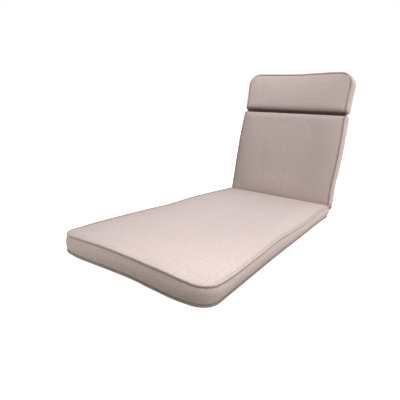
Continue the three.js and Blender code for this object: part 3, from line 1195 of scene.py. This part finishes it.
    def _stitch(
        self,
        faces: dict[Side, Array],
        places: dict[Side, Array],
        rings: list[Array],
        grid: Grid,
    ) -> Skin:
        """Joins the two faces and the rings into one closed skin with its weave map.

        On a face the map is the place across and along. On the band it is the length round the
        outline and the height.

        Args:
            faces: Points of the two faces.
            places: Their places across and along.
            rings: Points of the rings, from the top tuck to the low one.
            grid: The grid that the faces are laid on.

        Returns:
            The skin.
        """
        count = len(grid.u)
        points = np.concatenate([faces[Side.TOP], faces[Side.LOW], *rings])
        index = np.arange(count).reshape(grid.size)
        squares = [index[:-1, :-1], index[:-1, 1:], index[1:, 1:], index[1:, :-1]]
        quads = np.stack(squares, axis=-1).reshape(-1, 4)
        ring_index = 2 * count + np.arange(len(rings) * len(grid.rim)).reshape(len(rings), -1)
        loops = np.concatenate([[grid.rim], ring_index, [count + grid.rim]])
        upper, lower = loops[:-1], loops[1:]
        after = (np.roll(lower, -1, axis=1), np.roll(upper, -1, axis=1))
        band = np.stack([upper, lower, *after], axis=-1).reshape(-1, 4)
        middle = points[loops[len(loops) // 2]]
        run = path_length(np.concatenate([middle, middle[:1]]))
        drop = np.linalg.norm(np.diff(points[loops], axis=0), axis=2).mean(axis=1)
        depth = np.concatenate([[0.0], np.cumsum(drop)])
        left, right = run[None, :-1], run[None, 1:]
        above, below = -depth[:-1, None], -depth[1:, None]
        corners = [(left, above), (left, below), (right, below), (right, above)]
        weave = [
            places[Side.TOP][quads].reshape(-1, 2),
            (places[Side.LOW][quads[:, ::-1]] * np.array([-1.0, 1.0])).reshape(-1, 2),
            corner_weave(corners, upper.shape),
        ]
        face_list = quads.tolist() + (quads[:, ::-1] + count).tolist() + band.tolist()
        return Skin(points, face_list, np.concatenate(weave))

    def _subdivide(self, piece: bpy.types.Object) -> None:
        """Applies one subdivision.

        Args:
            piece: The pad, whose mesh is replaced by the finer one.
        """
        modifier = piece.modifiers.new("smooth", "SUBSURF")
        modifier.levels = 1
        modifier.render_levels = 1
        graph = bpy.context.evaluated_depsgraph_get()
        fine = bpy.data.meshes.new_from_object(
            piece.evaluated_get(graph), preserve_all_data_layers=True, depsgraph=graph
        )
        piece.modifiers.clear()
        coarse = piece.data
        piece.data = fine
        fine.name = piece.name
        bpy.data.meshes.remove(coarse)

    def _pucker(self, piece: bpy.types.Object, puckers: Puckers) -> None:
        """Raises the puckers along the normals and stores each point's painted shade.

        Args:
            piece: The pad, in millimetres on its own axes.
            puckers: The gathers.
        """
        mesh = piece.data
        seam_gap = take_attribute(mesh, SEAM_GAP)
        panel = take_attribute(mesh, PANEL)
        points = read_points(mesh)
        u, v = points[:, 0], points[:, 1]
        height = puckers.heights(u, v, seam_gap, self.shape.sewn_gap(v), self.seed)
        on_face = np.abs(panel)
        weight = on_face + (1.0 - on_face) * self.band_pucker
        if self.is_laid:
            weight = np.where(panel < self.low_panel, 0.0, weight)
        raised = points + read_points(mesh, "normal") * (height * weight)[:, None]
        write_points(mesh, raised)
        write_attribute(mesh, PAINTED_SHADE, self.dark.depth(self.shape, points, on_face, seam_gap))


@dataclass
class Piping:
    """A cord in a sleeve of the cover's own cloth, along a seam of a pad.

    It tapers and sinks into the seam at its ends, and swells slightly in waves along its run. Its
    cloth has painted shade near a sewn channel and on the left of the pad.
    """

    name: str
    node: str
    shape: PadShape
    placement: Placement
    side: Side
    seed: int
    is_loop: bool = True
    sides: int = 14
    pitch: float = 5.0
    swell: float = 0.025
    swell_lengths: tuple[float, ...] = (31.0, 53.0, 97.0)
    swell_phase: float = 6.28
    end_taper: float = 9.0
    end_size: float = 0.12
    end_sink: float = 1.6
    # Painted shade on the sleeve: over the whole run, near a sewn channel, and on the pad's left
    # side
    shade: float = 0.0
    end_shade: float = 1.2
    end_reach: float = 42.0
    left_shade: float = 0.5
    left_reach: float = 30.0

    def keeps(self, place: Array) -> Array:
        """Which places of the seam the run covers: all of them on a loop."""
        return np.ones(len(place), bool)

    def centre_line(self) -> tuple[Array, Array, Array, Array]:
        """Finds the run of the cord.

        Returns:
            Its centre points, with the out, away and along directions.
        """
        grid = self.shape.grid(self.pitch, has_insets=False)
        line = self.shape.seam(grid.u[grid.rim], grid.v[grid.rim], self.side)
        centres = line.offset(PIPING_PROUD, PIPING_PROUD)
        parts = [centres, line.out, line.away, line.along]
        if self.is_loop:
            return tuple(parts)
        kept = self.keeps(line.place)
        first = int(np.flatnonzero(kept & ~np.roll(kept, 1))[0])
        order = (first + np.arange(int(kept.sum()))) % len(kept)
        return tuple(self._with_close_ends([part[order] for part in parts]))

    def _with_close_ends(self, parts: list[Array]) -> list[Array]:
        """The run at new stops: close together near its ends and as before between them.

        Args:
            parts: The centre points and the directions of the run.

        Returns:
            The same parts at the new stops.
        """
        length = path_length(parts[0])
        stops = even_stops(0.0, length[-1], (PIPING_END_STOPS, PIPING_END_STOPS), self.pitch)
        return [
            np.stack([np.interp(stops, length, part[:, k]) for k in range(3)], axis=-1)
            for part in parts
        ]

    def build(self, cloth: bpy.types.Material) -> bpy.types.Object:
        """Makes the cord as rings round its centre line, each slightly uneven, and dresses it.

        Args:
            cloth: The material of the sleeve.

        Returns:
            The finished piece in its place.
        """
        centres, out, away, along = self.centre_line()
        ends = centres if not self.is_loop else np.concatenate([centres, centres[:1]])
        length = path_length(ends)
        here = length[: len(centres)]
        radius = PIPING_RADIUS * (1.0 + self.swell * self._unevenness(here, length[-1]))
        if not self.is_loop:
            edge = np.minimum(here, length[-1] - here)
            tapered = ease_in(edge, self.end_taper)
            radius = radius * (self.end_size + (1.0 - self.end_size) * np.sqrt(tapered))
            sunk = ((1.0 - tapered) * self.end_sink)[:, None]
            centres = centres - (unit(out) + unit(away)) * sunk
        skin = self._skin(centres, out, away, along, radius, length)
        piece = skin.build(self.name)
        write_points(piece.data, self.placement.apply(read_points(piece.data)))
        u, v = skin.points[:, 0], skin.points[:, 1]
        # Painted shade of the sleeve, stored for each vertex
        shade = self.shade + self.end_shade * fade_out(self.shape.sewn_gap(v), self.end_reach)
        shade += self.left_shade * smooth_step(-u, HALF - self.left_reach, HALF)
        write_attribute(piece.data, PAINTED_SHADE, np.clip(shade, 0.0, 1.0))
        piece.data.materials.append(cloth)
        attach(piece, BODY)
        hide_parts(self.node)
        log.info("%s: %.0f mm long, %d faces", self.name, length[-1], len(piece.data.polygons))
        return piece

    def _unevenness(self, here: Array, whole: float) -> Array:
        """Slow swelling of the cord: waves that fit a whole number of times into its length.

        Args:
            here: Length of the run up to each centre.
            whole: Length of the whole run.

        Returns:
            The mean of the waves, between -1 and 1.
        """
        chance = np.random.default_rng(self.seed)
        waves = [
            np.sin(
                2.0 * math.pi * here / (whole / round(whole / wave))
                + chance.uniform(0.0, self.swell_phase)
            )
            for wave in self.swell_lengths
            if whole > wave
        ]
        return np.mean(waves, axis=0)

    def _skin(
        self, centres: Array, out: Array, away: Array, along: Array, radius: Array, length: Array
    ) -> Skin:
        """Rings joined into a closed tube.

        A ring's point is its centre plus the radius times cos(angle) * out + sin(angle) * away.
        The first angle points into the pad.

        Args:
            centres: Centre points of the rings.
            out: The direction out of the pad's side at each centre.
            away: The direction off the face.
            along: The direction of the run.
            radius: The radius of each ring.
            length: Length of the run up to each centre, and on a loop up to the first again.

        Returns:
            The skin.
        """
        count = len(centres)
        angle = INWARD_ANGLE + 2.0 * math.pi * np.arange(self.sides) / self.sides
        ring = (
            np.cos(angle)[None, :, None] * unit(out)[:, None, :]
            + np.sin(angle)[None, :, None] * unit(away)[:, None, :]
        )
        points = (centres[:, None, :] + ring * radius[:, None, None]).reshape(-1, 3)
        index = np.arange(count * self.sides).reshape(count, self.sides)
        following = np.roll(index, -1, axis=0) if self.is_loop else index[1:]
        here = index if self.is_loop else index[:-1]
        after = (np.roll(here, -1, axis=1), np.roll(following, -1, axis=1))
        quads = np.stack([here, *after, following], axis=-1)
        is_flipped = float(np.dot(np.cross(out[0], away[0]), along[0])) < 0.0
        step = -1 if is_flipped else 1
        faces = quads.reshape(-1, 4)[:, ::step].tolist()
        spans = len(here)
        round_place = 2.0 * math.pi * PIPING_RADIUS * np.arange(self.sides + 1) / self.sides
        near, far = length[:spans, None], length[1 : spans + 1, None]
        low, high = round_place[None, :-1], round_place[None, 1:]
        corners = [(near, low), (near, high), (far, high), (far, low)]
        weave = corner_weave(corners[::step], here.shape)
        if self.is_loop:
            return Skin(points, faces, weave)
        points = np.concatenate([points, [centres[0], centres[-1]]])
        pole = np.full(self.sides, count * self.sides)
        first = np.stack([pole, np.roll(index[0], -1), index[0]], axis=-1)
        last = np.stack([pole + 1, index[-1], np.roll(index[-1], -1)], axis=-1)
        caps = np.concatenate([first, last])[:, ::step]
        return Skin(points, faces + caps.tolist(), np.concatenate([weave, np.zeros((caps.size, 2))]))


@dataclass
class SidePiping(Piping):
    """A run up one side of the back's front seam, from the hinge to the sewn channel."""

    is_right: bool = True
    is_loop: bool = False

    def keeps(self, place: Array) -> Array:
        """Chooses the places on this side between the hinge and the channel.

        Args:
            place: Places across and along, one row each.

        Returns:
            True where the run covers the seam.
        """
        u, v = place[:, 0], place[:, 1]
        on_side = u > 0.0 if self.is_right else u < 0.0
        return on_side & (v > HINGE_PIPING_STOP) & (self.shape.sewn_gap(v) > PIPING_END)


@dataclass
class OpenPiping(Piping):
    """A run round a seam that stops short of the sewn channel at both ends."""

    is_loop: bool = False

    def keeps(self, place: Array) -> Array:
        """Places clear of the channel."""
        return self.shape.sewn_gap(place[:, 1]) > PIPING_END


SEAT_SHAPE = PadShape(
    low=UNDERSIDE_LIFT,
    high=THICKNESS,
    crown=3.5,
    puff=2.5,
    low_crown=UNDERSIDE_LIFT,
    low_puff=0.0,
    low_reach=UNDERSIDE_REACH,
    bulge=7.0,
    start=PadEnd(at=0.0, low_at=0.0, corner=52.0, low_corner=54.0, bulge=7.0),
    end=PadEnd(at=SEAT_LENGTH, low_at=SEAT_LENGTH - 2.0, corner=12.0, low_corner=13.0, bulge=3.0),
    left_sway=EdgeTable(at=(20, 130, 480, 750), by=(-7, -2, -3, 0)),
    right_sway=EdgeTable(at=(0, 250, 480, 750, 1050, 1227), by=(-1, -2, -3, 0, 2, 6)),
    start_sway=EdgeTable(at=(-270, -200, -90, 30, 120, 200, 270), by=(1, 8, 3, -2, 3, 6, 0)),
    foot_rise=EdgeTable(at=(-270, -200, -90, 30, 170, 270), by=(3, 8.5, 10.5, 6.5, 7, 1)),
    left_rise=EdgeTable(
        at=(60, 180, 450, 590, 760, 860, 1080, 1180),
        by=(-2, 0.5, 0, -2.5, 2.5, 3.5, 1.5, 0),
    ),
    right_rise=EdgeTable(
        at=(40, 100, 220, 330, 470, 600, 720, 850, 1000, 1100, 1200),
        by=(-1, -4.5, -3.5, -1.5, 4.5, 0.8, -2.3, -3.8, 0, 2.5, 1),
    ),
    is_folded=True,
)

BACK_SHAPE = PadShape(
    bulge=14.0,
    start=PadEnd(at=0.0, low_at=-30.0, corner=12.0, low_corner=13.0, bulge=3.0),
    end=PadEnd.sewn(at=BACK_LENGTH - PAD_GAP / 2, roll=16.0),
    left_sway=EdgeTable(at=(40, 200, 340, 500), by=(-4, -2, -1, -8)),
    right_sway=EdgeTable(at=(10, 110, 240, 380, 500), by=(2, -1, 3, 2, -3)),
)

HEAD_SHAPE = PadShape(
    bulge=16.0,
    start=PadEnd.sewn(at=BACK_LENGTH + PAD_GAP / 2, roll=24.0),
    end=PadEnd(
        at=BACK_LENGTH + HEAD_LENGTH,
        low_at=BACK_LENGTH + HEAD_LENGTH,
        corner=62.0,
        low_corner=62.0,
        bulge=4.0,
    ),
    left_sway=EdgeTable(at=(500, 570, 640, 714), by=(-11, -10, -6, -4)),
    right_sway=EdgeTable(at=(500, 600, 714), by=(-5, -4, -2)),
    end_sway=EdgeTable(at=(-250, 0, 120, 200), by=(0, -3, 2, 5)),
)


class Lounger:
    """The whole cushion: where its pads stand, and the making of its pads and pipings."""

    def __init__(self) -> None:
        """Finds the seat's place from its top piping's box in the frame, and the back's from it."""
        origin = Placement((0.0, 0.0, 0.0))
        probe = Piping("probe", "seat_piping_top", SEAT_SHAPE, origin, Side.TOP, seed=0)
        centres, _, _, _ = probe.centre_line()
        low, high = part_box("seat_piping_top")
        middle = (np.array(low) + np.array(high)) / 2.0 / METRES
        own = (centres.min(axis=0) + centres.max(axis=0)) / 2.0
        self.seat = Placement((middle[0] - own[0], middle[1] - own[1], 0.0))
        sine, cosine = math.sin(RECLINE), math.cos(RECLINE)
        self.upright = Placement(
            (
                self.seat.origin[0],
                self.seat.origin[1] + SEAT_LENGTH + PIPING_PROUD * (1.0 + sine + cosine),
                THICKNESS + PIPING_PROUD * (1.0 + cosine - sine),
            ),
            turn=math.pi / 2.0 - RECLINE,
        )
        log.info("seat origin at %.2f, %.2f mm", self.seat.origin[0], self.seat.origin[1])

    def pads(self) -> list[PadCover]:
        """Describes the pads.

        Returns:
            The seat, the back and the head.
        """
        seat, upright = self.seat, self.upright
        # Painted shade: fainter beside the seat's seams and low band, and added under the head's
        # roll
        laid = ShadePainting(panel=0.2, low=0.2)
        shaded = ShadePainting(under=0.3)
        return [
            PadCover("Seat_Cover", "seat_pad", SEAT_SHAPE, seat, seed=11, dark=laid, is_laid=True),
            PadCover("Back_Cover", "back_pad", BACK_SHAPE, upright, seed=23, pitch=8.5),
            PadCover(
                "Head_Cover",
                "head_pad",
                HEAD_SHAPE,
                upright,
                seed=37,
                pitch=8.5,
                slack=0.0,
                dark=shaded,
            ),
        ]

    def pipings(self) -> list[Piping]:
        """Describes the runs of piping.

        Returns:
            The two of the seat, the three of the back and the two of the head.
        """
        top, low = Side.TOP, Side.LOW
        seat = (SEAT_SHAPE, self.seat)
        back, head = (BACK_SHAPE, self.upright), (HEAD_SHAPE, self.upright)
        return [
            Piping("Seat_Piping_Top", "seat_piping_top", *seat, top, seed=1),
            # The bottom run has painted shade, for the shadow where it meets the floor
            Piping("Seat_Piping_Bottom", "seat_piping_bottom", *seat, low, seed=2, shade=0.55),
            SidePiping("Back_Piping_Left", "back_piping_left", *back, top, seed=3, is_right=False),
            SidePiping("Back_Piping_Right", "back_piping_right", *back, top, seed=4),
            OpenPiping("Back_Piping_Rear", "back_piping_rear", *back, low, seed=5),
            OpenPiping("Head_Piping_Front", "head_piping_front", *head, top, seed=6),
            OpenPiping("Head_Piping_Rear", "head_piping_rear", *head, low, seed=7),
        ]

    def build(self) -> None:
        """Makes every piece and dresses it."""
        cover = COVER_CLOTH.material()
        sleeve = PIPING_CLOTH.material()
        filling = ClothFilling()
        puckers = Puckers()
        for pad in self.pads():
            pad.build(filling, puckers, cover)
        for piping in self.pipings():
            piping.build(sleeve)


def add_lamp(name: str, kind: str, energy: float, colour: Colour, away: Vector) -> bpy.types.Object:
    """Adds a lamp to the scene.

    Args:
        name: Its name.
        kind: The kind of lamp.
        energy: Its strength or power.
        colour: The colour of its light.
        away: The direction that the light comes from.

    Returns:
        The lamp's object, turned to shine from there.
    """
    lamp = bpy.data.lights.new(name, kind)
    lamp.energy = energy
    lamp.color = colour
    place = bpy.data.objects.new(name, lamp)
    place.rotation_euler = away.to_track_quat("Z", "Y").to_euler()
    bpy.context.scene.collection.objects.link(place)
    return place


@dataclass(frozen=True)
class SoftSun:
    """An even, very wide light from one direction, which gives soft shadows."""

    name: str
    azimuth: float
    elevation: float
    strength: float
    width: float = 45.0
    colour: Colour = (1.0, 1.0, 1.0)

    def add(self) -> None:
        """Adds the lamp. Azimuth 0 is the light from the back, +Y, and 90 from the right, +X."""
        azimuth, elevation = math.radians(self.azimuth), math.radians(self.elevation)
        level = math.cos(elevation)
        away = Vector((math.sin(azimuth) * level, math.cos(azimuth) * level, math.sin(elevation)))
        sun = add_lamp(self.name, "SUN", self.strength, self.colour, away)
        sun.data.angle = math.radians(self.width)


@dataclass(frozen=True)
class SoftBox:
    """A round, evenly bright panel that lights one part of the cushion more than the rest."""

    name: str
    place: tuple[float, float, float]
    aim: tuple[float, float, float]
    power: float
    size: float = 0.7
    colour: Colour = (1.0, 1.0, 1.0)

    def add(self) -> None:
        """Adds the lamp, turned towards the place it is aimed at."""
        away = Vector(self.place) - Vector(self.aim)
        panel = add_lamp(self.name, "AREA", self.power, self.colour, away)
        panel.data.shape = "DISK"
        panel.data.size = self.size
        panel.location = self.place
        panel.visible_camera = False


@dataclass(frozen=True)
class Studio:
    """Camera at the photograph's angle, a pale floor, a white surround and soft lamps."""

    camera_place: tuple[float, float, float] = (0.656811, -1.327724, 0.455510)
    yaw: float = 0.571616
    pitch: float = 0.232277
    roll: float = 0.0726762
    lens: float = 29.4726
    sensor: float = 36.0
    floor_drop: float = 0.0003
    floor_radius: float = 60.0
    floor_sides: int = 96
    floor_glow: float = 0.8
    floor_roughness: float = 0.9
    floor_grain: float = 3.0
    floor_tones: tuple[Colour, Colour] = ((0.86, 0.855, 0.85), (0.88, 0.875, 0.87))
    clip: tuple[float, float] = (0.01, 200.0)
    lamps: tuple[SoftSun | SoftBox, ...] = (
        SoftSun("right", azimuth=90.0, elevation=12.0, strength=2.48, colour=(1.0, 0.975, 0.944)),
        SoftSun("back", azimuth=0.0, elevation=64.0, strength=1.27, colour=(0.94, 0.92, 1.0)),
        SoftBox("above", (0.2, -0.1, 1.5), (0.1, 0.0, 0.06), power=8.2, colour=(0.94, 0.96, 1.0)),
        SoftBox("over_back", (-0.4, 0.2, 1.2), (-0.2, 0.68, 0.45), power=2.9, size=0.5),
        SoftBox("over_corner", (0.25, -0.68, 0.6), (0.22, -0.62, 0.06), power=1.85, size=0.35),
        SoftBox("far_right", (1.3, 0.4, 0.6), (0.3, 0.3, 0.03), power=5.9),
        SoftBox("foot", (0.3, -2.2, 0.5), (0.0, -0.7, 0.05), power=6.9, colour=(1.0, 0.948, 0.908)),
        SoftBox(
            "low_left",
            (-0.7, -1.4, 0.16),
            (-0.25, -0.72, 0.03),
            power=4.3,
            size=0.3,
            colour=(1.0, 0.96, 0.883),
        ),
        SoftBox("rear", (0.1, 2.1, 0.4), (0.0, 0.6, 0.35), power=11.0),
    )

    def build(self) -> None:
        """Makes the camera, the floor, the surround and the lamps."""
        self._camera()
        self._floor()
        self._surround()
        for lamp in self.lamps:
            lamp.add()

    def _camera(self) -> None:
        """Stands the camera where the photograph was taken from: turned, tilted down and rolled."""
        lens = bpy.data.cameras.new("camera")
        lens.lens = self.lens
        lens.sensor_width = self.sensor
        lens.sensor_fit = "HORIZONTAL"
        lens.clip_start, lens.clip_end = self.clip
        camera = bpy.data.objects.new("camera", lens)
        turn = (
            Matrix.Rotation(self.yaw, 4, "Z")
            @ Matrix.Rotation(math.pi / 2.0 - self.pitch, 4, "X")
            @ Matrix.Rotation(self.roll, 4, "Z")
        )
        camera.matrix_world = Matrix.Translation(self.camera_place) @ turn
        bpy.context.scene.collection.objects.link(camera)
        bpy.context.scene.camera = camera

    def _floor(self) -> None:
        """Lays a wide pale disc just under the cushion, lit from within like a light table."""
        angle = 2.0 * math.pi * np.arange(self.floor_sides) / self.floor_sides
        rim = np.stack([np.cos(angle), np.sin(angle), np.zeros_like(angle)], axis=-1)
        rim *= self.floor_radius
        rim[:, 2] = -self.floor_drop
        mesh = bpy.data.meshes.new("floor")
        mesh.from_pydata(rim.tolist(), [], [list(range(self.floor_sides))])
        floor = bpy.data.objects.new("floor", mesh)
        paint = bpy.data.materials.new("pale_floor")
        graph = NodeGraph(paint)
        place = graph.add("ShaderNodeTexCoord").outputs["Object"]
        grain = graph.noise(place, self.floor_grain, 2.0)
        dark, light = self.floor_tones
        graph.finish(
            {
                "Base Color": graph.blend(grain, (*dark, 1.0), (*light, 1.0)),
                "Roughness": self.floor_roughness,
                "Emission Color": (1.0, 1.0, 1.0, 1.0),
                "Emission Strength": self.floor_glow,
            },
        )
        mesh.materials.append(paint)
        floor.visible_diffuse = False
        bpy.context.scene.collection.objects.link(floor)

    def _surround(self) -> None:
        """A white surround that is seen behind the cushion but adds no light of its own."""
        world = bpy.data.worlds.new("surround")
        world.use_nodes = True
        background = world.node_tree.nodes["Background"]
        background.inputs["Color"].default_value = (1.0, 1.0, 1.0, 1.0)
        background.inputs["Strength"].default_value = 1.0
        bpy.context.scene.world = world
        world.cycles_visibility.diffuse = False


def main() -> None:
    """Builds the studio and the cushion, and notes the sizes."""
    logging.basicConfig(level=logging.INFO, format="%(name)s: %(message)s")
    bpy.context.scene.view_settings.view_transform = "Standard"
    Studio().build()
    Lounger().build()


if __name__ == "__main__":
    main()
